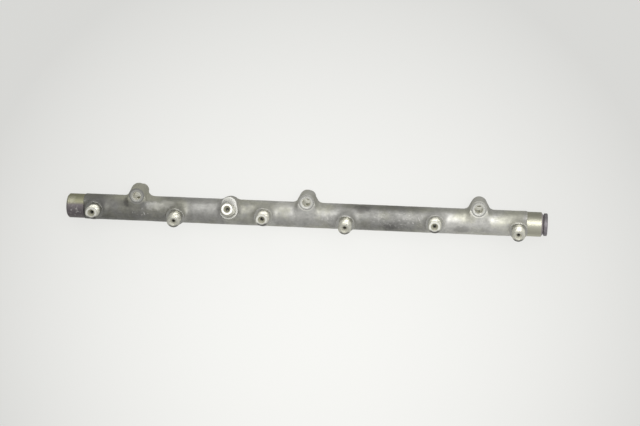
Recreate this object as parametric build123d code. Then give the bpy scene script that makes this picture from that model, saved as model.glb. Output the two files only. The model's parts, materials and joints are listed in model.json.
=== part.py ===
"""Fuel rail for an in-line six-cylinder common-rail diesel engine.

A forged steel pressure tube, machined where the lines, the bolts and the end fittings seat, and
the screw plug that closes its gallery at one end.

Frame, in millimetres: the origin is the axis of the middle bolt hole on the mounting plane. +X runs
along the rail to the plugged end, +Y from the tube to the bolt lugs, +Z out of the mounting plane.
"""
from build123d import *
import math
import os

# Engine
cylinder_pitch = 91.0
cylinder_count = 6
outlet_span = (cylinder_count - 1) * cylinder_pitch

# Pressure tube
tube_radius = 13.75
axis_to_bolts = 16.4
axis_height = 17.3
gallery_radius = 5.0

# Turned end lands
land_step = 0.75
land_radius = tube_radius - land_step
left_overhang = 31.5
left_land_length = 17.8
right_overhang = 22.5
right_land_length = 16.1
left_end_x = -outlet_span / 2 - left_overhang
left_step_x = left_end_x + left_land_length
right_end_x = outlet_span / 2 + right_overhang
right_step_x = right_end_x - right_land_length
land_root_chamfer = 0.4
left_end_chamfer = 1.6
right_end_chamfer_length = 1.9
right_end_chamfer_depth = 2.6

# Threaded end ports, M18x1.5, with a conical sealing seat
end_thread_radius = 8.25
end_thread_length = 13.0
end_mouth_chamfer = 0.9
seat_half_angle = 30.0

# Bolt lugs
lug_pitch = 2.0 * cylinder_pitch
lug_count = 3
bolt_hole_radius = 4.5
bolt_hole_chamfer = 0.4
lug_top_drop = 0.25
lug_top_height = tube_radius - lug_top_drop
spot_face_radius = 9.4
spot_face_depth = 0.5
lug_foot_rise = 1.75
lug_foot_depth = tube_radius - lug_foot_rise
lug_pad_wall = 2.9
lug_pad_radius = bolt_hole_radius + lug_pad_wall
pad_reach = 6.0
lug_middle_wall = 4.1
lug_middle_radius = bolt_hole_radius + lug_middle_wall
lug_middle_reach = 3.2
lug_top_wall = 4.1
lug_top_radius = bolt_hole_radius + lug_top_wall
lug_foot_flare = 15.0
lug_middle_flare = 28.0
lug_top_flare = 16.0
lug_root_fillet = 6.0
lug_root_depth = 0.5

# Port bosses
boss_setback = 3.65
boss_radius = tube_radius - boss_setback
boss_rise = 4.25
boss_height = tube_radius + boss_rise
boss_draft = 8.0
boss_root_fillet = 2.0
inlet_lobe_radius = 8.5
inlet_lobe_overhang = 5.0
inlet_lobe_reach = boss_radius + inlet_lobe_overhang

# Threaded stubs, M14x1.5, with a cone for the line's sealing head
stub_radius = 7.0
stub_reach = 11.5
stub_tip_height = boss_height + stub_reach
stub_tip_chamfer = 1.25
stub_relief_depth = 1.1
stub_relief_radius = stub_radius - stub_relief_depth
stub_relief_width = 1.6
cone_mouth_radius = 3.6
cone_half_angle = 30.0
port_drill_radius = 1.5

# Port places along the rail and round the tube, measured from +Z towards +Y
leaning_shift = -3.4
leaning_clock = -13.0
inlet_shift = 8.6
inlet_x = inlet_shift - cylinder_pitch
inlet_clock = 19.0

# Screw plug
plug_gap = 0.6
plug_head_radius = 12.0
plug_head_length = 4.0
plug_head_fillet = 1.0
plug_head_back_chamfer = 0.7
plug_neck_relief = 0.85
plug_neck_radius = end_thread_radius - plug_neck_relief
plug_neck_length = 2.4
plug_thread_play = 0.12
plug_seat_play = 0.06
plug_socket_across_flats = 10.0
plug_socket_depth = 6.0
plug_nose_inset = 0.8
plug_nose_radius = gallery_radius - plug_nose_inset


def along_tube(x):
    """Frame whose origin is on the tube's axis at x, with its Z along +X."""
    return Plane(origin=(x, -axis_to_bolts, axis_height), x_dir=(0, -1, 0), z_dir=(1, 0, 0))


def at_port(x, clock):
    """Frame on the tube's axis whose Z points out along a port, with its X along the rail."""
    turn = math.radians(clock)
    outward = (0, math.sin(turn), math.cos(turn))
    return Plane(origin=(x, -axis_to_bolts, axis_height), x_dir=(1, 0, 0), z_dir=outward)


def tube_piece(radius, x_start, x_end):
    """Solid cylinder on the tube's axis."""
    face = Circle(radius)
    return extrude(along_tube(x_start) * face, x_end - x_start)


def lug_outline(radius, reach, flare, height):
    """Plan of a lug at one height above the tube's axis.

    Its end is round about a centre that lies reach past the bolt's axis. Its flanks spread towards
    the tube, and they meet it in a hollow curve that starts a little under the tube's surface.
    """
    turn = math.radians(flare)
    side_x = radius * math.cos(turn)
    side_y = reach + radius * math.sin(turn)
    root_y = math.sqrt(tube_radius**2 - height**2) - lug_root_depth - axis_to_bolts
    root_x = side_x + (side_y - root_y) * math.tan(turn)
    ledge_x = root_x + lug_root_fillet
    base_y = -axis_to_bolts - lug_root_depth
    sides = Polyline(
        (side_x, side_y), (root_x, root_y), (ledge_x, root_y), (ledge_x, base_y), (-ledge_x, base_y),
        (-ledge_x, root_y), (-root_x, root_y), (-side_x, side_y),
    )
    round_end = ThreePointArc((-side_x, side_y), (0, reach + radius), (side_x, side_y))
    face = make_face(Curve() + [sides, round_end])
    corners = [v for v in face.vertices() if abs(abs(v.X) - root_x) < 1e-6 and abs(v.Y - root_y) < 1e-6]
    return Pos(0, 0, axis_height + height) * fillet(corners, lug_root_fillet)


def lug():
    """Forged lug round a bolt hole, drafted both ways from the parting plane, on its machined pad."""
    foot = lug_outline(lug_pad_radius, 0, lug_foot_flare, -lug_foot_depth)
    middle = lug_outline(lug_middle_radius, lug_middle_reach, lug_middle_flare, 0)
    top = lug_outline(lug_top_radius, 0, lug_top_flare, lug_top_height)
    pad = Pos(0, -pad_reach / 2) * SlotCenterToCenter(pad_reach, 2 * lug_pad_radius, rotation=90)
    pad_height = axis_height - lug_foot_depth + lug_root_depth
    return loft([foot, middle, top], ruled=True) + extrude(pad, pad_height)


def port_boss(plan):
    """Forged boss with draft, from the tube's axis out to the machined face."""
    return extrude(Pos(0, 0, boss_height) * plan, -boss_height, taper=-boss_draft)


def stub():
    """Turned stub with a chamfered tip and a relief groove at its root."""
    root = boss_height - stub_relief_width
    profile = Polyline(
        (0, root),
        (stub_relief_radius, root),
        (stub_relief_radius, boss_height + stub_relief_width),
        (stub_radius, boss_height + stub_relief_width + stub_radius - stub_relief_radius),
        (stub_radius, stub_tip_height - stub_tip_chamfer),
        (stub_radius - stub_tip_chamfer, stub_tip_height),
        (0, stub_tip_height),
        close=True,
    )
    return revolve(Plane.XZ * make_face(profile), Axis.Z)


def port_bore():
    """Sealing cone at the tip and the drilled passage to the gallery."""
    cone_depth = (cone_mouth_radius - port_drill_radius) / math.tan(math.radians(cone_half_angle))
    profile = Polyline(
        (0, 0),
        (port_drill_radius, 0),
        (port_drill_radius, stub_tip_height - cone_depth),
        (cone_mouth_radius, stub_tip_height),
        (0, stub_tip_height),
        close=True,
    )
    return revolve(Plane.XZ * make_face(profile), Axis.Z)


def ports():
    """Frames of the six outlets and the inlet, and the plan of each boss."""
    round_plan = Circle(boss_radius)
    lobe = Pos(0, inlet_lobe_reach - inlet_lobe_radius) * Circle(inlet_lobe_radius)
    inlet_plan = make_hull((round_plan + lobe).edges())
    places = [(at_port(inlet_x, inlet_clock), inlet_plan)]
    for index in range(cylinder_count):
        x = index * cylinder_pitch - outlet_span / 2
        if index % 2:
            places.append((at_port(x + leaning_shift, leaning_clock), round_plan))
        else:
            places.append((at_port(x, 0), round_plan))
    return places


def lug_places():
    """Shift of each lug along the rail."""
    return [Pos((index - (lug_count - 1) / 2) * lug_pitch, 0, 0) for index in range(lug_count)]


def forging():
    """Tube, bosses and lugs as they leave the die, with their root fillets."""
    blank = tube_piece(tube_radius, left_end_x, right_end_x)
    for frame, plan in ports():
        boss = frame * port_boss(plan)
        joined = blank + boss
        blank = joined.fillet(boss_root_fillet, new_edges(blank, boss, combined=joined))
    for place in lug_places():
        blank = blank + place * lug()
    return blank


def end_land(shoulder_x, end_x, chamfer_length, chamfer_depth):
    """Waste that the lathe takes off one end, down to the land with its root and end chamfers."""
    reach = 2.0 * stub_tip_height
    toward_end = math.copysign(1.0, end_x - shoulder_x)
    length = abs(end_x - shoulder_x)
    profile = Polyline(
        (reach, 0),
        (land_radius + land_root_chamfer, 0),
        (land_radius, land_root_chamfer),
        (land_radius, length - chamfer_length),
        (land_radius - chamfer_depth, length),
        (land_radius - chamfer_depth, length + chamfer_length),
        (reach, length + chamfer_length),
        close=True,
    )
    frame = Plane(
        origin=(shoulder_x, -axis_to_bolts, axis_height), x_dir=(0, 1, 0), z_dir=(toward_end, 0, 0)
    )
    return frame * revolve(Plane.XZ * make_face(profile), Axis.Z)


def end_port(mouth_x, outward):
    """Threaded hole with a conical seat, cut from one end along the tube's axis."""
    seat_length = (end_thread_radius - gallery_radius) / math.tan(math.radians(seat_half_angle))
    profile = Polyline(
        (0, 0),
        (end_thread_radius + end_mouth_chamfer, 0),
        (end_thread_radius, end_mouth_chamfer),
        (end_thread_radius, end_thread_length),
        (gallery_radius, end_thread_length + seat_length),
        (0, end_thread_length + seat_length),
        close=True,
    )
    frame = Plane(
        origin=(mouth_x, -axis_to_bolts, axis_height), x_dir=(0, 1, 0), z_dir=(-outward, 0, 0)
    )
    return frame * revolve(Plane.XZ * make_face(profile), Axis.Z)


def bolt_cut():
    """Spot face and bolt hole of one lug, with a broken edge at each mouth."""
    seat_z = axis_height + lug_top_height - spot_face_depth
    chamfered = bolt_hole_radius + bolt_hole_chamfer
    profile = Polyline(
        (0, 0),
        (chamfered, 0),
        (bolt_hole_radius, bolt_hole_chamfer),
        (bolt_hole_radius, seat_z - bolt_hole_chamfer),
        (chamfered, seat_z),
        (spot_face_radius, seat_z),
        (spot_face_radius, seat_z + tube_radius),
        (0, seat_z + tube_radius),
        close=True,
    )
    return revolve(Plane.XZ * make_face(profile), Axis.Z)


def rail_body():
    """The forging with its ends turned, its stubs cut and everything bored."""
    body = forging()
    body = body - end_land(left_step_x, left_end_x, left_end_chamfer, left_end_chamfer)
    body = body - end_land(right_step_x, right_end_x, right_end_chamfer_length, right_end_chamfer_depth)
    for place in lug_places():
        body = body - place * bolt_cut()
    for frame, plan in ports():
        body = body + frame * stub()
    for frame, plan in ports():
        body = body - frame * port_bore()
    body = body - tube_piece(gallery_radius, left_end_x, right_end_x)
    body = body - end_port(left_end_x, -1)
    body = body - end_port(right_end_x, 1)
    return body


def end_plug():
    """Screw plug at the right end: round head, neck, threaded shank and sealing nose."""
    seat_slope = math.tan(math.radians(seat_half_angle))
    seat_play_along = plug_seat_play / math.sin(math.radians(seat_half_angle))
    nose_start = end_thread_length + (end_thread_radius - plug_neck_radius) / seat_slope - seat_play_along
    nose_end = nose_start + (plug_neck_radius - plug_nose_radius) / seat_slope
    head_face = -plug_gap - plug_head_length
    shank_radius = end_thread_radius - plug_thread_play
    shank_end = end_thread_length - plug_neck_length
    profile = Polyline(
        (0, head_face),
        (plug_head_radius, head_face),
        (plug_head_radius, -plug_gap - plug_head_back_chamfer),
        (plug_head_radius - plug_head_back_chamfer, -plug_gap),
        (plug_neck_radius, -plug_gap),
        (plug_neck_radius, plug_neck_length),
        (shank_radius, plug_neck_length + shank_radius - plug_neck_radius),
        (shank_radius, shank_end),
        (plug_neck_radius, shank_end + shank_radius - plug_neck_radius),
        (plug_neck_radius, nose_start),
        (plug_nose_radius, nose_end),
        (0, nose_end),
        close=True,
    )
    face = make_face(profile)
    rim = face.vertices().sort_by_distance((plug_head_radius, head_face, 0))[0]
    face = fillet(rim, plug_head_fillet)
    turned = revolve(Plane.XZ * face, Axis.Z)
    hexagon = RegularPolygon(plug_socket_across_flats / 2, 6, major_radius=False)
    socket = extrude(Pos(0, 0, head_face) * hexagon, plug_socket_depth)
    frame = Plane(origin=(right_end_x, -axis_to_bolts, axis_height), x_dir=(0, 1, 0), z_dir=(-1, 0, 0))
    return frame * (turned - socket)


if __name__ == "__main__":
    os.makedirs("parts", exist_ok=True)
    export_step(rail_body(), "parts/rail_body.step")
    export_step(end_plug(), "parts/end_plug.step")
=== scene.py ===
"""Studio picture of a forged fuel rail for an in-line six, dressed round its own solids.

The rail's frame is in metres: +X along the rail to the plugged end, +Y from the tube to the bolt
lugs, +Z out of the mounting plane. Profiles and small sizes are in millimetres, and MM turns them
into metres.
"""
import json
import math

import bmesh
import bpy
from mathutils import Matrix, Vector, noise


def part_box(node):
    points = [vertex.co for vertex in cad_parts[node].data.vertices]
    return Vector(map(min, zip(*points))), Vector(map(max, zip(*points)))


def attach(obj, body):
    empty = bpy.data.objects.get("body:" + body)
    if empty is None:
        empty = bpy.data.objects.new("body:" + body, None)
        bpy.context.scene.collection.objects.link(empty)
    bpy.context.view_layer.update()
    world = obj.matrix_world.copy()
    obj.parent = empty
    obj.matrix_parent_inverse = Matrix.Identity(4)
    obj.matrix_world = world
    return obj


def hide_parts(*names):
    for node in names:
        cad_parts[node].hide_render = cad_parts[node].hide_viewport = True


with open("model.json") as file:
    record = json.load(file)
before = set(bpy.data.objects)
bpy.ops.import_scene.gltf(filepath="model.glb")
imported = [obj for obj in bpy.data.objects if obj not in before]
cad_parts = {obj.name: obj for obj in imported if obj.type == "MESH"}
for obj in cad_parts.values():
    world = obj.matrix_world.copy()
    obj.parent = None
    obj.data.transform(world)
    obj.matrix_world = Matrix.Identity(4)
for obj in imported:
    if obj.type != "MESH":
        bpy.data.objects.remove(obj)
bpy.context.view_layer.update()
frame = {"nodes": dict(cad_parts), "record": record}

MM = 0.001
X_AXIS = Vector((1, 0, 0))

# Interfaces of the rail, from its record
mounts = {mount["name"]: mount for mount in frame["record"]["mounts"]}
tube_y = mounts["sensor_port"]["pos_m"][1]
tube_z = mounts["sensor_port"]["pos_m"][2]
left_end_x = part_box("rail_body")[0].x
right_end_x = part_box("rail_body")[1].x
port_names = ["inlet"] + [f"outlet_{number}" for number in range(1, 7)]
lug_pitch = mounts["bolt_line"]["dims"]["spacing_x_mm"] * MM / 2
bolt_hole_radius = mounts["bolt_line"]["dims"]["hole_r_mm"]
lug_xs = (-lug_pitch, 0.0, lug_pitch)

# Turned ends and gallery
land_radius = 13.0
left_land_length = 17.8
left_end_chamfer = 1.6
right_land_length = 16.1
right_chamfer_length = 1.9
right_chamfer_depth = 2.6
gallery_radius = 5.0
end_thread_radius = 8.25
end_thread_length = 13.0
end_mouth_chamfer = 0.9
thread_pitch = 1.5
thread_depth = 0.92
thread_flank = (0.1, 0.85)
thread_end_gap = 0.01
seat_half_angle = math.radians(30)
land_skin_gap = 0.3
land_overlap = 1.0
land_run_out = 1.5
hidden_radius = land_radius - 0.6

# Stubs and their bosses
boss_height = 18.0
boss_radius = 10.1
inlet_lobe_radius = 8.5
inlet_lobe_reach = 15.1
stub_radius = 7.0
stub_tip_height = 29.49
stub_tip_chamfer = 1.25
stub_relief_radius = 6.75
stub_relief_width = 1.6
stub_sunk_length = 2.0
cone_mouth_radius = 3.6
cone_lip_width = 0.35
cone_lip_round = 0.25
cone_lip_drop = 0.2
port_drill_radius = 1.5
drill_shoulder_width = 0.3
drill_shoulder_height = 0.52
groove_end = boss_height + stub_relief_width
stub_crest_end = stub_tip_height - stub_tip_chamfer
stub_tip_radius = stub_radius - stub_tip_chamfer
leaning_limit = -0.05
# how far round the stubs' lower side their painted shade reaches
lower_shade_band = (0.4, 0.85)

# Lugs
lug_seat_height = 30.3
washer_radius = 6.5
spot_face_radius = 9.5
pad_radius = 11.0
pad_height = 0.3
seat_margin = 0.25
seat_facing = 0.9
bore_skin_radius = bolt_hole_radius + 0.45

# Screw plug
plug_gap = 0.6
plug_head_radius = 12.0
plug_head_length = 4.0
plug_neck_radius = 7.4
plug_socket_across_flats = 10.0
plug_socket_depth = 6.0

# Forged skin: a bend is how far a point stands proud of its neighbours, a wave has a size and a density
skin_metallic = 0.6
skin_voxel = 0.85 * MM
skin_smoothing = 2
root_smoothing = 110
root_rings = 5
root_bend = -0.02
root_clearance = 1.5
edge_bend = (0.03, 0.12)
hollow_bend = (0.01, 0.08)
skin_waves = ((0.16, 0.09), (0.09, 0.28), (0.05, 0.7))
skin_sink = 0.12
bore_allowance = 0.5

# Finishes, and painted light and shade, as linear colours
forged_grey = (0.42, 0.415, 0.39, 1)
forged_olive = (0.42, 0.415, 0.35, 1)
forged_dark = (0.24, 0.235, 0.22, 1)
# dark for stains and for painted shade
stain_and_shade_dark = (0.06, 0.056, 0.055, 1)
scuffed_edge = (0.62, 0.61, 0.56, 1)
seat_grey = (0.50, 0.495, 0.45, 1)
bore_grey = (0.86, 0.85, 0.78, 1)
lug_olive = (0.56, 0.55, 0.43, 1)
# painted shade for the lug walls below the seats
lug_wall_shade = (0.13, 0.13, 0.105, 1)
# pale for rubbed spots and dust, and for painted highlights
pale_rub_dust_and_highlight = (0.70, 0.69, 0.65, 1)
face_bright = (0.95, 0.945, 0.88, 1)
face_stain = (0.72, 0.72, 0.63, 1)
cone_brown = (0.46, 0.45, 0.36, 1)
# white of the painted reflection on the stub tips
tip_sheen_white = (0.95, 0.94, 0.86, 1)
machined_bright = (0.72, 0.71, 0.62, 1)
# stain on turned steel, and painted shade in the stubs' thread roots
machined_stain_and_root_shade = (0.40, 0.39, 0.31, 1)
land_gold = (0.55, 0.54, 0.44, 1)
bevel_grey = (0.30, 0.27, 0.27, 1)
land_olive = (0.29, 0.285, 0.19, 1)
land_purple = (0.17, 0.152, 0.16, 1)
land_upper_shade = (0.20, 0.195, 0.15, 1)
plug_purple = (0.20, 0.18, 0.20, 1)
plug_grey = (0.27, 0.255, 0.26, 1)

# How light or dark the skin, the stubs and the faces are along the rail, from its left end (0) to its
# right (1)
skin_tone = (
    (0.0, 0.46), (0.14, 0.46), (0.19, 0.58), (0.28, 0.82), (0.39, 1.0), (0.47, 1.08), (0.56, 1.06),
    (0.62, 0.8), (0.68, 0.68), (0.73, 0.75), (0.79, 1.28), (0.9, 1.36), (1.0, 1.3),
)
stub_tone = ((0.0, 0.8), (0.3, 0.9), (1.0, 1.0))
face_tone = (
    (0.0, 0.5), (0.16, 0.58), (0.2, 0.85), (0.3, 0.85), (0.33, 0.5), (0.37, 0.5), (0.4, 1.0),
    (1.0, 1.0),
)

# Where a finish or a painted shade changes, in millimetres: across the rail, up from the mounting plane,
# and along it
lug_side_band = (-7.5, -3.5)
seat_height_band = (27.5, 29.5)
wall_shade_band = (20.0, 50.0)
first_lug_left_band = (-225.0, -197.0)
first_lug_right_band = (-150.0, -165.0)
worn_end_band = (-200.0, 200.0)

# The same across the turned ends and the plug, counted from the tube's axis
low_side_band = (3.5, 7.5)
upper_shade_band = (2.0, 9.0)
plug_dark_band = (3.0, 9.0)

# Marks: centre and half sizes in millimetres, and strength
mark_raggedness = 0.012
# Dark stains, and at (-193, -7, 27), in the fillet left of the first lug, a painted shadow
stains_and_fillet_shadow = (
    ((-235, -24, 24), (24, 12, 14), 0.6),
    ((-193, -7, 27), (5, 6, 6), 0.5),
    ((59, -5, 25), (10, 6, 7), 0.45),
    ((89, -23, 29), (11, 5, 6), 0.4),
    ((165, -22, 29), (11, 5, 6), 0.35),
    ((-208, -9, 29), (16, 4, 5), 0.12),
    ((-78, -15, 31), (4, 8, 4), 0.25),
)
# Lighter patches: rubbed spots, and the first three, on the top of the tube right of the first lug, also
# a painted highlight
rubbed_and_highlight_patches = (
    ((-163, -10, 29.5), (10, 5, 5), 0.22),
    ((-149, -8, 28.5), (9, 5, 6), 0.15),
    ((-145, -15, 31), (8, 5, 5), 0.3),
    ((-23, -5, 23), (12, 5, 8), 0.3),
    ((183, 5, 26), (14, 9, 10), 0.2),
    ((160, -22, 30), (18, 8, 8), 0.4),
    ((208, -22, 30), (16, 8, 8), 0.2),
)
speckled_patches = (
    ((-177, -18, 30), (12, 4, 6), 0.7),
    ((119, -16, 31), (10, 9, 8), 0.6),
    ((28, -20, 30), (16, 9, 8), 0.6),
    ((97, -14, 31), (30, 12, 8), 0.4),
)
clean_plating = (
    ((-255, -7, 26), (6, 3, 8), 0.3),
)
dusty_plating = (
    ((-249, -19, 30), (9, 7, 8), 0.5),
)


def port_matrix(name):
    """Frame on the tube's axis whose Z points out along a port, with its X along the rail."""
    outward = Vector(mounts[name]["axis"]).normalized()
    foot = Vector((mounts[name]["pos_m"][0], tube_y, tube_z))
    side = outward.cross(X_AXIS).normalized()
    turn = Matrix((X_AXIS, side, outward)).transposed()
    return Matrix.Translation(foot) @ turn.to_4x4()


port_frames = {name: port_matrix(name) for name in port_names}
port_inverses = [matrix.inverted() for matrix in port_frames.values()]


def along_tube(x):
    """Frame on the tube's axis at x whose Z points along +X."""
    return Matrix.Translation((x, tube_y, tube_z)) @ Matrix.Rotation(math.radians(90), 4, "Y")


def smoothstep(low, high, value):
    """0 below low, 1 above high, and a smooth curve between them."""
    share = min(max((value - low) / (high - low), 0.0), 1.0)
    return share * share * (3 - 2 * share)


def finished(name, bm, material, angle):
    """Object of a finished mesh that rides with the rail, smooth but for its sharp edges."""
    mesh = bpy.data.meshes.new(name)
    bm.to_mesh(mesh)
    bm.free()
    mesh.shade_smooth()
    mesh.set_sharp_from_angle(angle=math.radians(angle))
    mesh.materials.append(material)
    piece = bpy.data.objects.new(name, mesh)
    bpy.context.scene.collection.objects.link(piece)
    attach(piece, "root")
    return piece


def softened(piece, width):
    """Rounds the sharp edges of a piece by a bevel of the given width in millimetres."""
    bevel = piece.modifiers.new("edges", "BEVEL")
    bevel.width = width * MM
    bevel.segments = 2
    bevel.limit_method = "ANGLE"
    bevel.angle_limit = math.radians(35)


def spun(profile, steps):
    """Turned solid of a closed profile of (radius, height) points, round +Z."""
    bm = bmesh.new()
    ring = [bm.verts.new((radius * MM, 0.0, height * MM)) for radius, height in profile]
    sides = [bm.edges.new(pair) for pair in zip(ring, ring[1:] + ring[:1])]
    bmesh.ops.spin(
        bm, geom=ring + sides, cent=(0, 0, 0), axis=(0, 0, 1), dvec=(0, 0, 0),
        angle=math.tau, steps=steps, use_merge=True, use_duplicate=False,
    )
    bmesh.ops.remove_doubles(bm, verts=bm.verts, dist=1e-7)
    bmesh.ops.recalc_face_normals(bm, faces=bm.faces)
    return bm


def stepped(start, end, count):
    """Points on a straight line of a profile, the end left out."""
    return [
        (start[0] + (end[0] - start[0]) * i / count, start[1] + (end[1] - start[1]) * i / count)
        for i in range(count)
    ]


def thread_share(height, turn):
    """0 on the thread's crest and 1 in its root, at a height and an angle."""
    phase = (height / thread_pitch - turn / math.tau) % 1.0
    slope = abs(2.0 * phase - 1.0)
    return smoothstep(*thread_flank, slope)


# Shader building


def node(tree, kind, **values):
    """New node; a key names one of its settings, or an input by name or as i0, i1 and so on."""
    made = tree.nodes.new(kind)
    for key, value in values.items():
        if key[0] == "i" and key[1:].isdigit():
            socket = made.inputs[int(key[1:])]
        elif hasattr(made, key):
            setattr(made, key, value)
            continue
        else:
            socket = made.inputs[key.replace("_", " ")]
        if isinstance(value, bpy.types.NodeSocket):
            tree.links.new(value, socket)
        else:
            socket.default_value = value
    return made


def maths(tree, operation, first, second):
    """Output of a Math node."""
    return node(tree, "ShaderNodeMath", operation=operation, i0=first, i1=second).outputs[0]


def vector(tree, operation, first, second):
    """Vector that a Vector Math node puts out."""
    return node(tree, "ShaderNodeVectorMath", operation=operation, i0=first, i1=second).outputs[0]


def far_from(tree, place, centre, size):
    """Distance of a place from a centre, counted in the given half sizes."""
    away = vector(tree, "DIVIDE", vector(tree, "SUBTRACT", place, centre), size)
    return node(tree, "ShaderNodeVectorMath", operation="LENGTH", i0=away).outputs["Value"]


def ramped(tree, value, low, high, out_low=0.0, out_high=1.0, smooth=True):
    """Value carried from one range to another, clamped."""
    made = node(
        tree, "ShaderNodeMapRange", interpolation_type="SMOOTHSTEP" if smooth else "LINEAR",
        i0=value, i1=low, i2=high, i3=out_low, i4=out_high,
    )
    return made.outputs[0]


def banded(tree, value, limits, out_low=0.0, out_high=1.0):
    """Value carried from one range to another between two places given in millimetres."""
    return ramped(tree, value, limits[0] * MM, limits[1] * MM, out_low, out_high)


def mixed(tree, factor, first, second):
    """Value of a Mix node."""
    return node(tree, "ShaderNodeMix", data_type="FLOAT", i0=factor, i2=first, i3=second).outputs[0]


def blended(tree, factor, first, second, mode="MIX"):
    """Colour of a Mix node."""
    made = node(tree, "ShaderNodeMix", data_type="RGBA", blend_type=mode, i0=factor, i6=first, i7=second)
    return made.outputs[2]


def tinted(tree, colour, mask, strength, tint):
    """Colour with a tint laid over it where the mask lies, at the given strength."""
    return blended(tree, maths(tree, "MULTIPLY", mask, strength), colour, tint)


def effect_group(name, inputs, outputs):
    """Empty shader group with the given sockets, its tree and its two end nodes."""
    tree = bpy.data.node_groups.new(name, "ShaderNodeTree")
    for label, kind in inputs:
        tree.interface.new_socket(name=label, in_out="INPUT", socket_type="NodeSocket" + kind)
    for label, kind in outputs:
        tree.interface.new_socket(name=label, in_out="OUTPUT", socket_type="NodeSocket" + kind)
    return tree, tree.nodes.new("NodeGroupInput"), tree.nodes.new("NodeGroupOutput")


def mottle_group():
    """Cloudy mask: how much of it shows is set by Low and High."""
    tree, given, result = effect_group(
        "mottle", [("Vector", "Vector"), ("Scale", "Float"), ("Low", "Float"), ("High", "Float")],
        [("Mask", "Float")],
    )
    cloud = node(
        tree, "ShaderNodeTexNoise", Vector=given.outputs["Vector"], Scale=given.outputs["Scale"],
        Detail=5.0, Roughness=0.62,
    )
    mask = ramped(tree, cloud.outputs[0], given.outputs["Low"], given.outputs["High"])
    tree.links.new(mask, result.inputs["Mask"])
    return tree


def patch_group():
    """Ragged round patch at one place: Centre and Size in metres."""
    tree, given, result = effect_group(
        "patch",
        [("Vector", "Vector"), ("Centre", "Vector"), ("Size", "Vector"), ("Ragged", "Float")],
        [("Mask", "Float")],
    )
    wander = node(
        tree, "ShaderNodeTexNoise", Vector=given.outputs["Vector"], Scale=260.0, Detail=4.0,
    )
    centred = vector(tree, "SUBTRACT", wander.outputs[1], (0.5, 0.5, 0.5))
    pushed = node(
        tree, "ShaderNodeVectorMath", operation="SCALE", i0=centred, Scale=given.outputs["Ragged"],
    )
    moved = vector(tree, "ADD", given.outputs["Vector"], pushed.outputs[0])
    far = far_from(tree, moved, given.outputs["Centre"], given.outputs["Size"])
    mask = ramped(tree, far, 1.2, 0.5)
    tree.links.new(mask, result.inputs["Mask"])
    return tree


def grain_group():
    """Height of a blasted surface: fine pits on soft waves."""
    tree, given, result = effect_group(
        "grain", [("Vector", "Vector"), ("Pit_Size", "Float")], [("Height", "Float")]
    )
    fine = node(
        tree, "ShaderNodeTexNoise", Vector=given.outputs["Vector"],
        Scale=maths(tree, "DIVIDE", 1.0, given.outputs["Pit_Size"]), Detail=3.0,
    )
    soft = node(
        tree, "ShaderNodeTexNoise", Vector=given.outputs["Vector"],
        Scale=maths(tree, "DIVIDE", 0.22, given.outputs["Pit_Size"]), Detail=2.0,
    )
    total = maths(tree, "ADD", maths(tree, "MULTIPLY", fine.outputs[0], 0.5), soft.outputs[0])
    tree.links.new(total, result.inputs["Height"])
    return tree


mottle = mottle_group()
patch = patch_group()
grain = grain_group()


def effect(tree, group, **values):
    """Output of one placed effect group."""
    made = tree.nodes.new("ShaderNodeGroup")
    made.node_tree = group
    for key, value in values.items():
        socket = made.inputs[key]
        if isinstance(value, bpy.types.NodeSocket):
            tree.links.new(value, socket)
        else:
            socket.default_value = value
    return made.outputs[0]


def new_material(name):
    """Material with its tree, its shader and the object's own coordinates."""
    material = bpy.data.materials.new(name)
    material.use_nodes = True
    tree = material.node_tree
    shader = tree.nodes["Principled BSDF"]
    place = tree.nodes.new("ShaderNodeTexCoord").outputs["Object"]
    return material, tree, shader, place


def attribute(tree, name):
    """Value of one of the mesh's own attributes."""
    made = tree.nodes.new("ShaderNodeAttribute")
    made.attribute_name = name
    return made.outputs["Fac"]


def bumped(tree, shader, height, strength, distance):
    """Feeds a height to the shader's normal."""
    bump = node(tree, "ShaderNodeBump", Strength=strength, Distance=distance, Height=height)
    tree.links.new(bump.outputs[0], shader.inputs["Normal"])


def tone_along(tree, place, stops):
    """Grey multiplier along the rail, from its left end to its right."""
    along = node(tree, "ShaderNodeSeparateXYZ", Vector=place).outputs[0]
    tone = node(tree, "ShaderNodeValToRGB")
    share = ramped(tree, along, left_end_x, right_end_x, smooth=False)
    tree.links.new(share, tone.inputs[0])
    ramp = tone.color_ramp
    ramp.elements.remove(ramp.elements[1])
    for position, level in stops:
        stop = ramp.elements.new(position) if position > 0 else ramp.elements[0]
        stop.color = (level, level, level, 1)
    return tone.outputs[0]


def marked(tree, place, colour, marks, tint, dots=1.0):
    """Colour with ragged patches of a tint, whole or broken up into dots."""
    for centre, size, strength in marks:
        mask = effect(
            tree, patch, Vector=place, Centre=[c * MM for c in centre], Size=[s * MM for s in size],
            Ragged=mark_raggedness,
        )
        colour = tinted(tree, colour, maths(tree, "MULTIPLY", mask, dots), strength, tint)
    return colour


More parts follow.
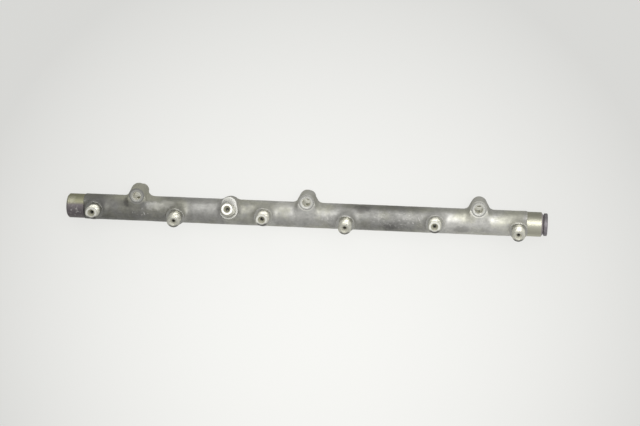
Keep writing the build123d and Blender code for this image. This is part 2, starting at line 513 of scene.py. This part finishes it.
def forged_steel():
    """Rough forged skin: mottled grey with an olive tinge, dark stain marks and scuffed edges, painted
    shade in its hollows, in a lug's fillet and on the lug walls, and a painted highlight on the top of
    the tube.
    """
    material, tree, shader, place = new_material("forged_steel")
    cloud = effect(tree, mottle, Vector=place, Scale=70.0, Low=0.35, High=0.65)
    speckle = effect(tree, mottle, Vector=place, Scale=420.0, Low=0.3, High=0.7)
    olive_cloud = effect(tree, mottle, Vector=place, Scale=38.0, Low=0.42, High=0.62)
    colour = blended(tree, olive_cloud, forged_grey, forged_olive)
    colour = tinted(tree, colour, cloud, 0.35, forged_dark)
    blotch = effect(tree, mottle, Vector=place, Scale=170.0, Low=0.3, High=0.7)
    light = ramped(tree, maths(tree, "ADD", speckle, blotch), 0.0, 2.0, 0.8, 1.17, smooth=False)
    grey = node(tree, "ShaderNodeCombineColor", i0=light, i1=light, i2=light)
    colour = blended(tree, 1.0, colour, grey.outputs[0], "MULTIPLY")
    edge = attribute(tree, "edge")
    worn = maths(tree, "MULTIPLY", edge, ramped(tree, speckle, 0.0, 1.0, 0.3, 0.7))
    colour = tinted(tree, colour, worn, 0.5, scuffed_edge)
    along, across, height = node(tree, "ShaderNodeSeparateXYZ", Vector=place).outputs
    # painted shade on the lug walls below the bolt seats, stronger towards the right end
    behind = banded(tree, across, lug_side_band)
    below_seats = banded(tree, height, seat_height_band, 1.0, 0.0)
    dull = maths(tree, "MULTIPLY", behind, below_seats)
    wall_shade_strength = banded(tree, along, wall_shade_band, 0.12, 0.5)
    colour = tinted(tree, colour, dull, wall_shade_strength, lug_wall_shade)
    cut = attribute(tree, "machined")
    colour = blended(tree, cut, colour, seat_grey)
    colour = blended(tree, 1.0, colour, tone_along(tree, place, skin_tone), "MULTIPLY")
    before_lug = banded(tree, along, first_lug_left_band, 0.0, 0.45)
    past_lug = banded(tree, along, first_lug_right_band)
    on_lug = maths(tree, "MULTIPLY", past_lug, before_lug)
    colour = tinted(tree, colour, behind, on_lug, lug_olive)
    # lighter patches: rubbed spots and, on the top of the tube, a painted highlight
    colour = marked(tree, place, colour, rubbed_and_highlight_patches, pale_rub_dust_and_highlight)
    # dark stains, one of them a painted shadow in the first lug's fillet
    colour = marked(tree, place, colour, stains_and_fillet_shadow, stain_and_shade_dark)
    dust = effect(tree, mottle, Vector=place, Scale=330.0, Low=0.56, High=0.64)
    colour = marked(tree, place, colour, speckled_patches, pale_rub_dust_and_highlight, dust)
    # painted shade in the hollow roots of the lugs and bosses
    colour = tinted(tree, colour, attribute(tree, "hollow"), 0.28, stain_and_shade_dark)
    tree.links.new(colour, shader.inputs["Base Color"])
    rough = ramped(tree, cloud, 0.0, 1.0, 0.46, 0.58)
    rough = maths(tree, "SUBTRACT", rough, maths(tree, "MULTIPLY", cut, 0.08))
    tree.links.new(rough, shader.inputs["Roughness"])
    shader.inputs["Metallic"].default_value = skin_metallic
    pits = effect(tree, grain, Vector=place, Pit_Size=0.0006)
    bumped(tree, shader, pits, 0.4, 0.0001)
    return material


def stub_steel():
    """Turned stub under pale plating: bright crests, a tip whitened by a painted reflection, a brown
    cone, and painted shade in the thread roots, down the drill and on the lower side.
    """
    material, tree, shader, place = new_material("stub_steel")
    cloud = effect(tree, mottle, Vector=place, Scale=160.0, Low=0.35, High=0.7)
    colour = tinted(tree, machined_bright, cloud, 0.25, machined_stain_and_root_shade)
    groove = attribute(tree, "groove")
    # painted shade in the thread roots
    colour = tinted(tree, colour, groove, 0.45, machined_stain_and_root_shade)
    tip = attribute(tree, "tip")
    # painted reflection whitening the tip faces, and a little the leaning stubs' cones
    colour = blended(tree, tip, colour, tip_sheen_white)
    cone = attribute(tree, "cone")
    colour = blended(tree, cone, colour, blended(tree, tip, cone_brown, tip_sheen_white))
    drill = attribute(tree, "drill")
    # painted shade down the drilled passage
    colour = tinted(tree, colour, drill, 0.7, stain_and_shade_dark)
    # painted shade on the stubs' lower side
    colour = tinted(tree, colour, attribute(tree, "dirt"), 0.95, stain_and_shade_dark)
    colour = blended(tree, 1.0, colour, tone_along(tree, place, stub_tone), "MULTIPLY")
    tree.links.new(colour, shader.inputs["Base Color"])
    cut_rough = maths(tree, "MAXIMUM", groove, cone)
    dull = maths(tree, "MAXIMUM", cut_rough, maths(tree, "MULTIPLY", tip, 0.9))
    rough = ramped(tree, dull, 0.0, 1.0, 0.32, 0.5)
    tree.links.new(rough, shader.inputs["Roughness"])
    metal = ramped(tree, maths(tree, "MAXIMUM", drill, cone), 0.0, 1.0, 0.9, 0.3)
    tree.links.new(metal, shader.inputs["Metallic"])
    pits = effect(tree, grain, Vector=place, Pit_Size=0.0004)
    bumped(tree, shader, pits, 0.15, 0.00003)
    return material


def machined_face():
    """Milled boss faces, pressed bolt seats and their bores: clouded steel, dark along its outline."""
    material, tree, shader, place = new_material("machined_face")
    cloud = effect(tree, mottle, Vector=place, Scale=150.0, Low=0.35, High=0.7)
    colour = tinted(tree, face_bright, cloud, 0.4, face_stain)
    colour = tinted(tree, colour, attribute(tree, "rim"), 0.5, stain_and_shade_dark)
    colour = blended(tree, 1.0, colour, tone_along(tree, place, face_tone), "MULTIPLY")
    bore = attribute(tree, "bore")
    colour = blended(tree, bore, colour, bore_grey)
    tree.links.new(colour, shader.inputs["Base Color"])
    rough = ramped(tree, cloud, 0.0, 1.0, 0.24, 0.36)
    rough = maths(tree, "ADD", rough, maths(tree, "MULTIPLY", bore, 0.25))
    tree.links.new(rough, shader.inputs["Roughness"])
    shader.inputs["Metallic"].default_value = 0.9
    pits = effect(tree, grain, Vector=place, Pit_Size=0.0005)
    bumped(tree, shader, pits, 0.15, 0.00004)
    return material


def plated_land():
    """Turned end under yellow-green plating, dull and blackened towards the left end, with painted shade
    on its upper side and down its ports.
    """
    material, tree, shader, place = new_material("plated_land")
    cloud = effect(tree, mottle, Vector=place, Scale=90.0, Low=0.35, High=0.7)
    along, across, _ = node(tree, "ShaderNodeSeparateXYZ", Vector=place).outputs
    from_axis = maths(tree, "SUBTRACT", across, tube_y)
    worn = banded(tree, along, worn_end_band, 1.0, 0.0)
    low = banded(tree, from_axis, low_side_band, 1.0, 0.0)
    # painted shade on the upper side of the turned ends, mostly at the right end
    high = banded(tree, from_axis, upper_shade_band)
    colour = blended(tree, worn, land_gold, land_olive)
    most_upper_shade = ramped(tree, worn, 0.0, 1.0, 0.5, 0.02, smooth=False)
    colour = tinted(tree, colour, high, most_upper_shade, land_upper_shade)
    colour = tinted(tree, colour, worn, low, land_purple)
    colour = tinted(tree, colour, cloud, 0.15, machined_stain_and_root_shade)
    colour = marked(tree, place, colour, clean_plating, land_gold)
    dust = effect(tree, mottle, Vector=place, Scale=330.0, Low=0.54, High=0.64)
    colour = marked(tree, place, colour, dusty_plating, pale_rub_dust_and_highlight, dust)
    # painted shade down the end ports' threads and bore
    colour = tinted(tree, colour, attribute(tree, "groove"), 0.8, stain_and_shade_dark)
    bevel = attribute(tree, "bevel")
    colour = blended(tree, bevel, colour, bevel_grey)
    tree.links.new(colour, shader.inputs["Base Color"])
    rough = ramped(tree, worn, 0.0, 1.0, 0.42, 0.55)
    tree.links.new(rough, shader.inputs["Roughness"])
    metal = ramped(tree, bevel, 0.0, 1.0, 0.9, 0.1)
    tree.links.new(metal, shader.inputs["Metallic"])
    turning = node(
        tree, "ShaderNodeTexWave", bands_direction="X", Vector=place, Scale=900.0, Distortion=0.0,
    )
    bumped(tree, shader, turning.outputs["Fac"], 0.05, 0.00001)
    return material


def dark_steel():
    """Phosphated plug: near black with a purple cast, darkest towards the lugs."""
    material, tree, shader, place = new_material("dark_steel")
    cloud = effect(tree, mottle, Vector=place, Scale=240.0, Low=0.3, High=0.7)
    colour = blended(tree, cloud, plug_purple, plug_grey)
    across = node(tree, "ShaderNodeSeparateXYZ", Vector=place).outputs[1]
    high = banded(tree, maths(tree, "SUBTRACT", across, tube_y), plug_dark_band)
    colour = tinted(tree, colour, high, 0.5, stain_and_shade_dark)
    tree.links.new(colour, shader.inputs["Base Color"])
    shader.inputs["Metallic"].default_value = 0.4
    rough = ramped(tree, cloud, 0.0, 1.0, 0.5, 0.62)
    tree.links.new(rough, shader.inputs["Roughness"])
    pits = effect(tree, grain, Vector=place, Pit_Size=0.0005)
    bumped(tree, shader, pits, 0.4, 0.0001)
    return material


forged = forged_steel()
bright = stub_steel()
milled = machined_face()
gold = plated_land()
dark = dark_steel()


def stub_profile():
    """Outline of a stub as (radius, height): up its thread, over its tip and down its sealing cone."""
    thread_start = groove_end + stub_radius - stub_relief_radius
    cone_foot = stub_tip_height - (cone_mouth_radius - port_drill_radius) / math.tan(seat_half_angle)
    profile = [(port_drill_radius, gallery_radius)]
    profile += [(stub_relief_radius, boss_height - stub_sunk_length)]
    profile += [(stub_relief_radius, groove_end - thread_end_gap)]
    profile += stepped((stub_relief_radius, groove_end), (stub_radius, thread_start), 6)
    profile += stepped((stub_radius, thread_start), (stub_radius, stub_crest_end), 44)
    profile += stepped((stub_radius, stub_crest_end), (stub_tip_radius, stub_tip_height), 7)
    profile += [(stub_tip_radius, stub_tip_height)]
    profile += [(cone_mouth_radius + cone_lip_width, stub_tip_height)]
    profile += [(cone_mouth_radius + cone_lip_round, stub_tip_height)]
    profile += [(cone_mouth_radius, stub_tip_height - cone_lip_drop)]
    profile += [((cone_mouth_radius + port_drill_radius) / 2, (stub_tip_height + cone_foot) / 2)]
    profile += [(port_drill_radius + drill_shoulder_width, cone_foot + drill_shoulder_height)]
    profile += [(port_drill_radius, cone_foot)]
    return profile


def line_stub(name):
    """Turned stub with its thread, relief groove, sealing cone and drilled passage."""
    bm = spun(stub_profile(), 72)
    groove, cone, drill, dirt, tip = [
        bm.verts.layers.float.new(label) for label in ("groove", "cone", "drill", "dirt", "tip")
    ]
    leaning = mounts[name]["axis"][1] < leaning_limit
    # painted reflection: full on the tips of the upright stubs, faint on the leaning ones, and a little
    # in the leaning ones' cones
    tip_sheen_share = 0.2 if leaning else 1.0
    cone_sheen_share = 0.3 if leaning else 0.0
    lip_radius = cone_mouth_radius + (cone_lip_width + cone_lip_round) / 2
    thread_top = stub_tip_height - thread_end_gap
    near = 0.05
    for vert in bm.verts:
        radius = math.hypot(vert.co.x, vert.co.y) / MM
        height = vert.co.z / MM
        # painted shade on the lower side of the thread and chamfer, on all stubs but the inlet
        if radius > stub_tip_radius - near and name != "inlet":
            vert[dirt] = smoothstep(*lower_shade_band, -vert.co.y / MM / radius)
        if height > stub_tip_height - near and lip_radius < radius < stub_tip_radius + near:
            vert[tip] = tip_sheen_share
        if groove_end < height < thread_top and radius > stub_tip_radius - 2 * near:
            share = thread_share(height, math.atan2(vert.co.y, vert.co.x))
            scale = min(1.0, (stub_radius - thread_depth * share) / radius)
            vert.co.x *= scale
            vert.co.y *= scale
            vert[groove] = share
        elif radius < port_drill_radius + near:
            vert[drill] = 1.0
        elif radius < lip_radius:
            vert[cone] = 1.0
            vert[tip] = cone_sheen_share
    bm.transform(port_frames[name])
    return bm


def outline_of_hull(bm):
    """Leaves one face on the outline round the loose points of a flat mesh."""
    hull = bmesh.ops.convex_hull(bm, input=bm.verts[:], use_existing_faces=False)
    bmesh.ops.delete(bm, geom=hull["geom_interior"], context="VERTS")
    bmesh.ops.dissolve_faces(bm, faces=bm.faces[:])


def boss_face(name):
    """Machined face of one boss: a disc of its outline that caps the forging."""
    lift = 0.03
    thickness = 0.8
    edge_round = 0.5
    rim_width = 0.6
    bm = bmesh.new()
    bmesh.ops.create_circle(bm, cap_ends=True, segments=72, radius=(boss_radius - edge_round) * MM)
    if name == "inlet":
        reach = (inlet_lobe_reach - inlet_lobe_radius - edge_round) * MM
        lobe = bmesh.ops.create_circle(
            bm, cap_ends=True, segments=48, radius=(inlet_lobe_radius - edge_round) * MM
        )
        bmesh.ops.translate(bm, verts=lobe["verts"], vec=(0, reach, 0))
        bmesh.ops.delete(bm, geom=bm.faces[:], context="FACES_ONLY")
        bmesh.ops.delete(bm, geom=bm.edges[:], context="EDGES_FACES")
        outline_of_hull(bm)
    bmesh.ops.translate(bm, verts=bm.verts, vec=(0, 0, (boss_height + lift) * MM))
    rim = bm.verts.layers.float.new("rim")
    for vert in bm.verts:
        vert[rim] = 1.0
    bmesh.ops.inset_region(bm, faces=bm.faces[:], thickness=rim_width * MM, use_even_offset=True)
    for vert in bm.verts:
        vert[rim] = 1.0 if vert.is_boundary else 0.0
    raised = bmesh.ops.extrude_face_region(bm, geom=bm.faces[:])
    lowered = [item for item in raised["geom"] if isinstance(item, bmesh.types.BMVert)]
    bmesh.ops.translate(bm, verts=lowered, vec=(0, 0, -thickness * MM))
    bmesh.ops.recalc_face_normals(bm, faces=bm.faces)
    bm.transform(port_frames[name])
    return bm


def rounded_blank():
    """The solid body without its turned ends, stubs, gallery and drillings."""
    bm = bmesh.new()
    bm.from_mesh(frame["nodes"]["rail_body"].data)
    bmesh.ops.remove_doubles(bm, verts=bm.verts, dist=1e-6)
    left_cut = left_end_x + (left_land_length + land_skin_gap) * MM
    right_cut = right_end_x - (right_land_length + land_skin_gap) * MM
    for cut_x, outward in ((left_cut, -1), (right_cut, 1)):
        geom = bm.verts[:] + bm.edges[:] + bm.faces[:]
        bmesh.ops.bisect_plane(
            bm, geom=geom, dist=1e-7, plane_co=(cut_x, 0, 0), plane_no=(outward, 0, 0), clear_outer=True,
        )
    bore_margin = 0.1
    stub_margin = 0.05
    face_margin = 0.005
    gone = []
    for face in bm.faces:
        centre = face.calc_center_median()
        off_axis = math.hypot(centre.y - tube_y, centre.z - tube_z)
        in_bore = off_axis < (end_thread_radius + bore_margin) * MM
        for inverse in port_inverses:
            local = inverse @ centre
            radius = math.hypot(local.x, local.y)
            in_drill = radius < (port_drill_radius + bore_margin) * MM and local.z > 0
            above_face = local.z > (boss_height + face_margin) * MM
            on_stub = radius < (stub_radius + stub_margin) * MM and above_face
            in_bore = in_bore or in_drill or on_stub
        if in_bore:
            gone.append(face)
    bmesh.ops.delete(bm, geom=gone, context="FACES")
    rims = [edge for edge in bm.edges if edge.is_boundary]
    bmesh.ops.holes_fill(bm, edges=rims, sides=0)
    bmesh.ops.recalc_face_normals(bm, faces=bm.faces)
    return bm


def remeshed(bm, voxel):
    """Even mesh of the same solid, fine enough to carry the forged surface."""
    mesh = bpy.data.meshes.new("blank")
    bm.to_mesh(mesh)
    bm.free()
    blank = bpy.data.objects.new("blank", mesh)
    bpy.context.scene.collection.objects.link(blank)
    remesh = blank.modifiers.new("voxels", "REMESH")
    remesh.mode = "VOXEL"
    remesh.voxel_size = voxel
    graph = bpy.context.evaluated_depsgraph_get()
    made = bpy.data.meshes.new_from_object(blank.evaluated_get(graph))
    bpy.data.objects.remove(blank)
    out = bmesh.new()
    out.from_mesh(made)
    return out


def machined_share(point, normal):
    """1 where the skin was machined after forging: the bolt seats, the bolt holes and the pads."""
    height = point.z / MM
    for lug_x in lug_xs:
        radius = math.hypot(point.x - lug_x, point.y) / MM
        on_pad = radius < pad_radius and height < pad_height
        on_seat = radius < spot_face_radius and abs(height - lug_seat_height) < seat_margin
        if radius < bore_skin_radius or on_pad or (on_seat and normal.z > seat_facing):
            return 1.0
    return 0.0


def smoothed(bm, verts, rounds):
    """Draws the given points towards their neighbours."""
    for _ in range(rounds):
        bmesh.ops.smooth_vert(
            bm, verts=verts, factor=0.5, use_axis_x=True, use_axis_y=True, use_axis_z=True,
        )
    bm.normal_update()


def bends_of(bm):
    """How far each point stands proud of its neighbours, in millimetres."""
    bends = []
    for vert in bm.verts:
        around = [link.other_vert(vert).co for link in vert.link_edges]
        middle = sum(around, Vector()) / len(around)
        bends.append((vert.co - middle).dot(vert.normal) / MM)
    return bends


def root_verts(bm):
    """Points in and round the hollow roots of lugs and bosses, clear of what was machined."""
    bends = bends_of(bm)
    chosen = {vert for vert, bend in zip(bm.verts, bends) if bend < root_bend}
    for _ in range(root_rings):
        chosen |= {link.other_vert(vert) for vert in chosen for link in vert.link_edges}
    highest_root = (boss_height - root_clearance) * MM
    verts = []
    for vert in bm.verts:
        if vert in chosen and not machined_share(vert.co, vert.normal):
            if all((inverse @ vert.co).z < highest_root for inverse in port_inverses):
                verts.append(vert)
    return verts


def forged_skin():
    """Forged body with its uneven surface, and how edged, hollow and machined it is at each point."""
    bm = remeshed(rounded_blank(), skin_voxel)
    smoothed(bm, bm.verts[:], skin_smoothing)
    smoothed(bm, root_verts(bm), root_smoothing)
    edge = bm.verts.layers.float.new("edge")
    hollow = bm.verts.layers.float.new("hollow")
    machined = bm.verts.layers.float.new("machined")
    bm.verts.index_update()
    bends = bends_of(bm)
    for vert in bm.verts:
        near = [bends[link.other_vert(vert).index] for link in vert.link_edges] + [bends[vert.index]]
        bend = sum(near) / len(near)
        vert[edge] = smoothstep(*edge_bend, bend)
        vert[hollow] = smoothstep(*hollow_bend, -bend)
        vert[machined] = machined_share(vert.co, vert.normal)
    for vert in bm.verts:
        off_axis = min(math.hypot(vert.co.x - lug_x, vert.co.y) for lug_x in lug_xs) / MM
        if off_axis < bore_skin_radius:
            vert.co -= vert.normal * (bore_allowance * MM)
        else:
            place = vert.co / MM
            wave = sum(size * noise.noise(place * density) for size, density in skin_waves)
            vert.co += vert.normal * ((wave - skin_sink) * (1 - vert[machined]) * MM)
    return bm


def end_port_profile():
    """Wall of an end port from the gallery out to its mouth, as (radius, depth)."""
    seat_length = (end_thread_radius - gallery_radius) / math.tan(seat_half_angle)
    points = [(gallery_radius, end_thread_length + seat_length)]
    points += stepped((end_thread_radius, end_thread_length), (end_thread_radius, end_mouth_chamfer), 60)
    points += [(end_thread_radius, end_mouth_chamfer), (end_thread_radius + end_mouth_chamfer, 0.0)]
    return points


def turned_core():
    """Both turned ends and the gallery between them, as one ring of revolution."""
    rail_length = (right_end_x - left_end_x) / MM
    bevel_margin = 0.05
    left_port = end_port_profile()
    right_port = [(radius, rail_length - depth) for radius, depth in reversed(end_port_profile())]
    left_outside = [
        (land_radius - left_end_chamfer, 0.0),
        (land_radius, left_end_chamfer),
        (land_radius, left_land_length + land_overlap),
        (hidden_radius, left_land_length + land_run_out),
    ]
    right_outside = [
        (hidden_radius, rail_length - right_land_length - land_run_out),
        (land_radius, rail_length - right_land_length - land_overlap),
        (land_radius, rail_length - right_chamfer_length - bevel_margin),
        (land_radius, rail_length - right_chamfer_length),
        (land_radius - right_chamfer_depth, rail_length),
    ]
    bm = spun(left_outside + right_outside + right_port + left_port, 96)
    groove = bm.verts.layers.float.new("groove")
    bevel = bm.verts.layers.float.new("bevel")
    for vert in bm.verts:
        radius = math.hypot(vert.co.x, vert.co.y) / MM
        depth = vert.co.z / MM
        on_chamfer = depth > rail_length - right_chamfer_length - 0.01
        on_thread = abs(radius - end_thread_radius) < 0.02 and depth < end_thread_length
        if on_chamfer and radius > end_thread_radius:
            vert[bevel] = 1.0
        # groove marks the painted shade inside the end ports: the thread by its roots, the bore in full
        if on_thread:
            share = 1.0 - thread_share(depth, math.atan2(vert.co.y, vert.co.x))
            scale = 1.0 + thread_depth * share / radius
            vert.co.x *= scale
            vert.co.y *= scale
            vert[groove] = 0.4 + 0.6 * share
        elif radius < end_thread_radius + 0.1:
            vert[groove] = 1.0
    bm.transform(along_tube(left_end_x))
    return bm


def bolt_seat(lug_x):
    """Bore of one bolt and the dished ring that its head polished into the spot face, with a burr."""
    bore = bolt_hole_radius
    sleeve = bore + 0.2
    collar = bore + 1.1
    foot = 0.02
    ring = washer_radius + 1.9
    low = lug_seat_height - 0.6
    high = lug_seat_height + 0.12
    burr = 0.06
    dish = 0.2
    profile = [(bore, foot), (collar, foot), (collar, 0.2), (sleeve, 0.5), (sleeve, low)]
    profile += [(ring, low), (ring, high - 0.12), (washer_radius + 0.4, high - 0.02)]
    profile += [(washer_radius, high + burr), (washer_radius - 0.8, high - dish)]
    profile += [(bore + 0.4, high - dish - 0.02), (bore, high - 0.62)]
    bm = spun(profile, 72)
    rim = bm.verts.layers.float.new("rim")
    wall = bm.verts.layers.float.new("bore")
    for vert in bm.verts:
        radius = math.hypot(vert.co.x, vert.co.y) / MM
        vert[rim] = 0.15 + 0.85 * smoothstep(washer_radius - 0.1, washer_radius + 0.3, radius)
        vert[wall] = 1.0 if radius < bore + 0.05 else 0.0
    bmesh.ops.translate(bm, verts=bm.verts, vec=(lug_x, 0, 0))
    return bm


def plug_screw():
    """Screw plug's head and neck, with its hexagon socket."""
    face_height = plug_gap + plug_head_length
    corner_radius = plug_socket_across_flats / math.sqrt(3)
    edge_round = 1.0
    back_chamfer = 0.7
    mouth_width = 0.4
    mouth_depth = 0.3
    neck_foot = -2.0
    bm = bmesh.new()
    bmesh.ops.create_circle(bm, cap_ends=False, segments=6, radius=corner_radius * MM)
    bmesh.ops.subdivide_edges(bm, edges=bm.edges[:], cuts=15, use_grid_fill=False)
    bmesh.ops.translate(bm, verts=bm.verts, vec=(0, 0, (face_height - mouth_depth) * MM))
    socket_rim = bm.edges[:]
    walls = bmesh.ops.extrude_edge_only(bm, edges=socket_rim)
    low_verts = [item for item in walls["geom"] if isinstance(item, bmesh.types.BMVert)]
    low_edges = [item for item in walls["geom"] if isinstance(item, bmesh.types.BMEdge)]
    bmesh.ops.translate(bm, verts=low_verts, vec=(0, 0, -plug_socket_depth * MM))
    bmesh.ops.contextual_create(bm, geom=low_edges)
    rims = [
        (corner_radius + mouth_width, face_height),
        (plug_head_radius - edge_round, face_height),
        (plug_head_radius - 0.5 * edge_round, face_height - 0.14 * edge_round),
        (plug_head_radius - 0.13 * edge_round, face_height - 0.5 * edge_round),
        (plug_head_radius, face_height - edge_round),
        (plug_head_radius, plug_gap + back_chamfer),
        (plug_head_radius - back_chamfer, plug_gap),
        (plug_neck_radius, plug_gap),
        (plug_neck_radius, neck_foot),
    ]
    inner = socket_rim
    for radius, height in rims:
        circle = bmesh.ops.create_circle(bm, cap_ends=False, segments=96, radius=radius * MM)
        bmesh.ops.translate(bm, verts=circle["verts"], vec=(0, 0, height * MM))
        ring = list({link for vert in circle["verts"] for link in vert.link_edges})
        bmesh.ops.bridge_loops(bm, edges=inner + ring)
        inner = ring
    bmesh.ops.contextual_create(bm, geom=inner)
    bmesh.ops.recalc_face_normals(bm, faces=bm.faces)
    bm.transform(along_tube(right_end_x))
    return bm


skin = finished("forged_skin", forged_skin(), forged, angle=50.0)
core = finished("turned_core", turned_core(), gold, angle=30.0)
for name in port_names:
    finished(f"{name}_stub", line_stub(name), bright, angle=35.0)
    face = finished(f"{name}_face", boss_face(name), milled, angle=35.0)
    softened(face, width=0.2)
for number, lug_x in enumerate(lug_xs, start=1):
    finished(f"bolt_seat_{number}", bolt_seat(lug_x), milled, angle=30.0)
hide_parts("rail_body")
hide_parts("rail_body")
plug = finished("plug_head", plug_screw(), dark, angle=30.0)
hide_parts("end_plug")


# Floor: its levels of light, by themselves and mirrored in the steel, and its lengths in metres
glow_centre = (0.01, -0.16, 0.0)
glow_reach = (0.33, 0.35, 1.0)
glow_level = 0.925
glow_fall = 0.163
far_level = 0.68
floor_warmth = 0.972
lit_share = 0.88
mirrored_share = 0.9
mirrored_front = 0.8
mirrored_behind = 0.48
mirrored_in_holes = 1.05
floor_radius = 12.0
floor_drop = 0.00005
tube_fade = 0.01
hole_fade = (0.005, 0.008)

# Surroundings
sky_low = 0.38
sky_high = 0.58
sky_side = 0.5
sky_height_band = (-0.1, 0.9)
sky_side_band = (0.5, 1.0)

# Camera, in pixels of the picture but for its sensor
picture_width = 640.0
focal_pixels = 1500.0
shift_pixels = -40.0
sensor_width = 36.0


def studio_floor():
    """Pale floor on the mounting plane, a little brighter under the lamp: a painted pool of light."""
    bm = bmesh.new()
    bmesh.ops.create_circle(bm, cap_ends=True, segments=64, radius=floor_radius)
    mesh = bpy.data.meshes.new("floor")
    bm.to_mesh(mesh)
    bm.free()
    floor = bpy.data.objects.new("floor", mesh)
    floor.location = (0, 0, -floor_drop)
    bpy.context.scene.collection.objects.link(floor)
    material, tree, shader, place = new_material("floor_white")
    # painted pool of light: brightest at the glow centre, falling off to the far level
    far = far_from(tree, place, glow_centre, glow_reach)
    drop = maths(tree, "MULTIPLY", maths(tree, "MULTIPLY", far, far), glow_fall)
    level = maths(tree, "MAXIMUM", maths(tree, "SUBTRACT", glow_level, drop), far_level)
    warm = maths(tree, "MULTIPLY", level, floor_warmth)
    colour = node(tree, "ShaderNodeCombineColor", i0=level, i1=level, i2=warm).outputs[0]
    tree.links.new(colour, shader.inputs["Base Color"])
    shader.inputs["Roughness"].default_value = 0.9
    shader.inputs["Specular IOR Level"].default_value = 0.1
    rays = tree.nodes.new("ShaderNodeLightPath").outputs
    side = node(tree, "ShaderNodeSeparateXYZ", Vector=place).outputs[1]
    mirrored_level = ramped(
        tree, side, tube_y - tube_fade, tube_y + tube_fade, mirrored_front, mirrored_behind,
    )
    open_floor = 1.0
    for lug_x in lug_xs:
        away = node(tree, "ShaderNodeVectorMath", operation="DISTANCE", i0=place, i1=(lug_x, 0, 0))
        open_floor = maths(tree, "MULTIPLY", open_floor, ramped(tree, away.outputs["Value"], *hole_fade))
    mirrored_level = mixed(tree, open_floor, mirrored_in_holes, mirrored_level)
    strength = mixed(tree, rays["Is Glossy Ray"], 1.0, mirrored_level)
    glow = node(tree, "ShaderNodeEmission", Color=colour, Strength=strength)
    mirrored = maths(tree, "MULTIPLY", rays["Is Glossy Ray"], mirrored_share)
    lit = maths(tree, "MULTIPLY", rays["Is Camera Ray"], lit_share)
    share = maths(tree, "MAXIMUM", maths(tree, "MULTIPLY", lit, open_floor), mirrored)
    mix = node(tree, "ShaderNodeMixShader", i0=share, i1=shader.outputs[0], i2=glow.outputs[0])
    tree.links.new(mix.outputs[0], tree.nodes["Material Output"].inputs["Surface"])
    mesh.materials.append(material)


def softbox(name, place, aim, width, height, power):
    """Area lamp at a place, turned to a point."""
    light = bpy.data.lights.new(name, "AREA")
    light.shape = "RECTANGLE"
    light.size = width
    light.size_y = height
    light.energy = power
    lamp = bpy.data.objects.new(name, light)
    lamp.location = place
    lamp.rotation_euler = (Vector(aim) - Vector(place)).to_track_quat("-Z", "Y").to_euler()
    bpy.context.scene.collection.objects.link(lamp)


def soft_sky():
    """Plain pale surroundings, brighter overhead and past the plugged end."""
    world = bpy.data.worlds.new("soft_sky")
    bpy.context.scene.world = world
    world.use_nodes = True
    tree = world.node_tree
    back = tree.nodes["Background"]
    place = tree.nodes.new("ShaderNodeTexCoord").outputs["Generated"]
    sideways, _, upwards = node(tree, "ShaderNodeSeparateXYZ", Vector=place).outputs
    level = ramped(tree, upwards, *sky_height_band, sky_low, sky_high)
    level = maths(tree, "ADD", level, ramped(tree, sideways, *sky_side_band, 0.0, sky_side))
    grey = node(tree, "ShaderNodeCombineColor", i0=level, i1=level, i2=level)
    far_floor = (far_level, far_level, far_level * floor_warmth, 1)
    rays = tree.nodes.new("ShaderNodeLightPath").outputs
    seen = blended(tree, rays["Is Camera Ray"], grey.outputs[0], far_floor)
    tree.links.new(seen, back.inputs["Color"])


def rail_camera():
    """Camera at the photograph's angle: above the rail, leaning to the lugs' side."""
    yaw = math.radians(4.0)
    lean = math.radians(14.0)
    roll = math.radians(2.337)
    distance = 1.5982
    aim = Vector((0.05605, -0.01216, 0.01632))
    back = Vector((math.sin(yaw), math.sin(lean) * math.cos(yaw), math.cos(lean) * math.cos(yaw)))
    right = Vector((math.cos(yaw), -math.sin(lean) * math.sin(yaw), -math.cos(lean) * math.sin(yaw)))
    up = back.cross(right)
    turned_right = math.cos(roll) * right + math.sin(roll) * up
    turned_up = math.cos(roll) * up - math.sin(roll) * right
    view = bpy.data.cameras.new("rail_view")
    view.sensor_width = sensor_width
    view.lens = focal_pixels / picture_width * sensor_width
    view.shift_x = shift_pixels / picture_width
    camera = bpy.data.objects.new("rail_view", view)
    camera.matrix_world = Matrix.Translation(aim + back * distance) @ Matrix(
        (turned_right, turned_up, back)
    ).transposed().to_4x4()
    bpy.context.scene.collection.objects.link(camera)
    bpy.context.scene.camera = camera
    view.clip_start = 0.01
    view.clip_end = 50.0


studio_floor()
soft_sky()
softbox("key", place=(0.6, 1.05, 2.13), aim=(0.1, 0, 0), width=2.0, height=1.4, power=33.0)
softbox("side", place=(-0.6, 1.73, 1.0), aim=(-0.1, 0, 0), width=1.2, height=0.9, power=9.0)
rail_camera()
bpy.context.scene.view_settings.view_transform = "Standard"
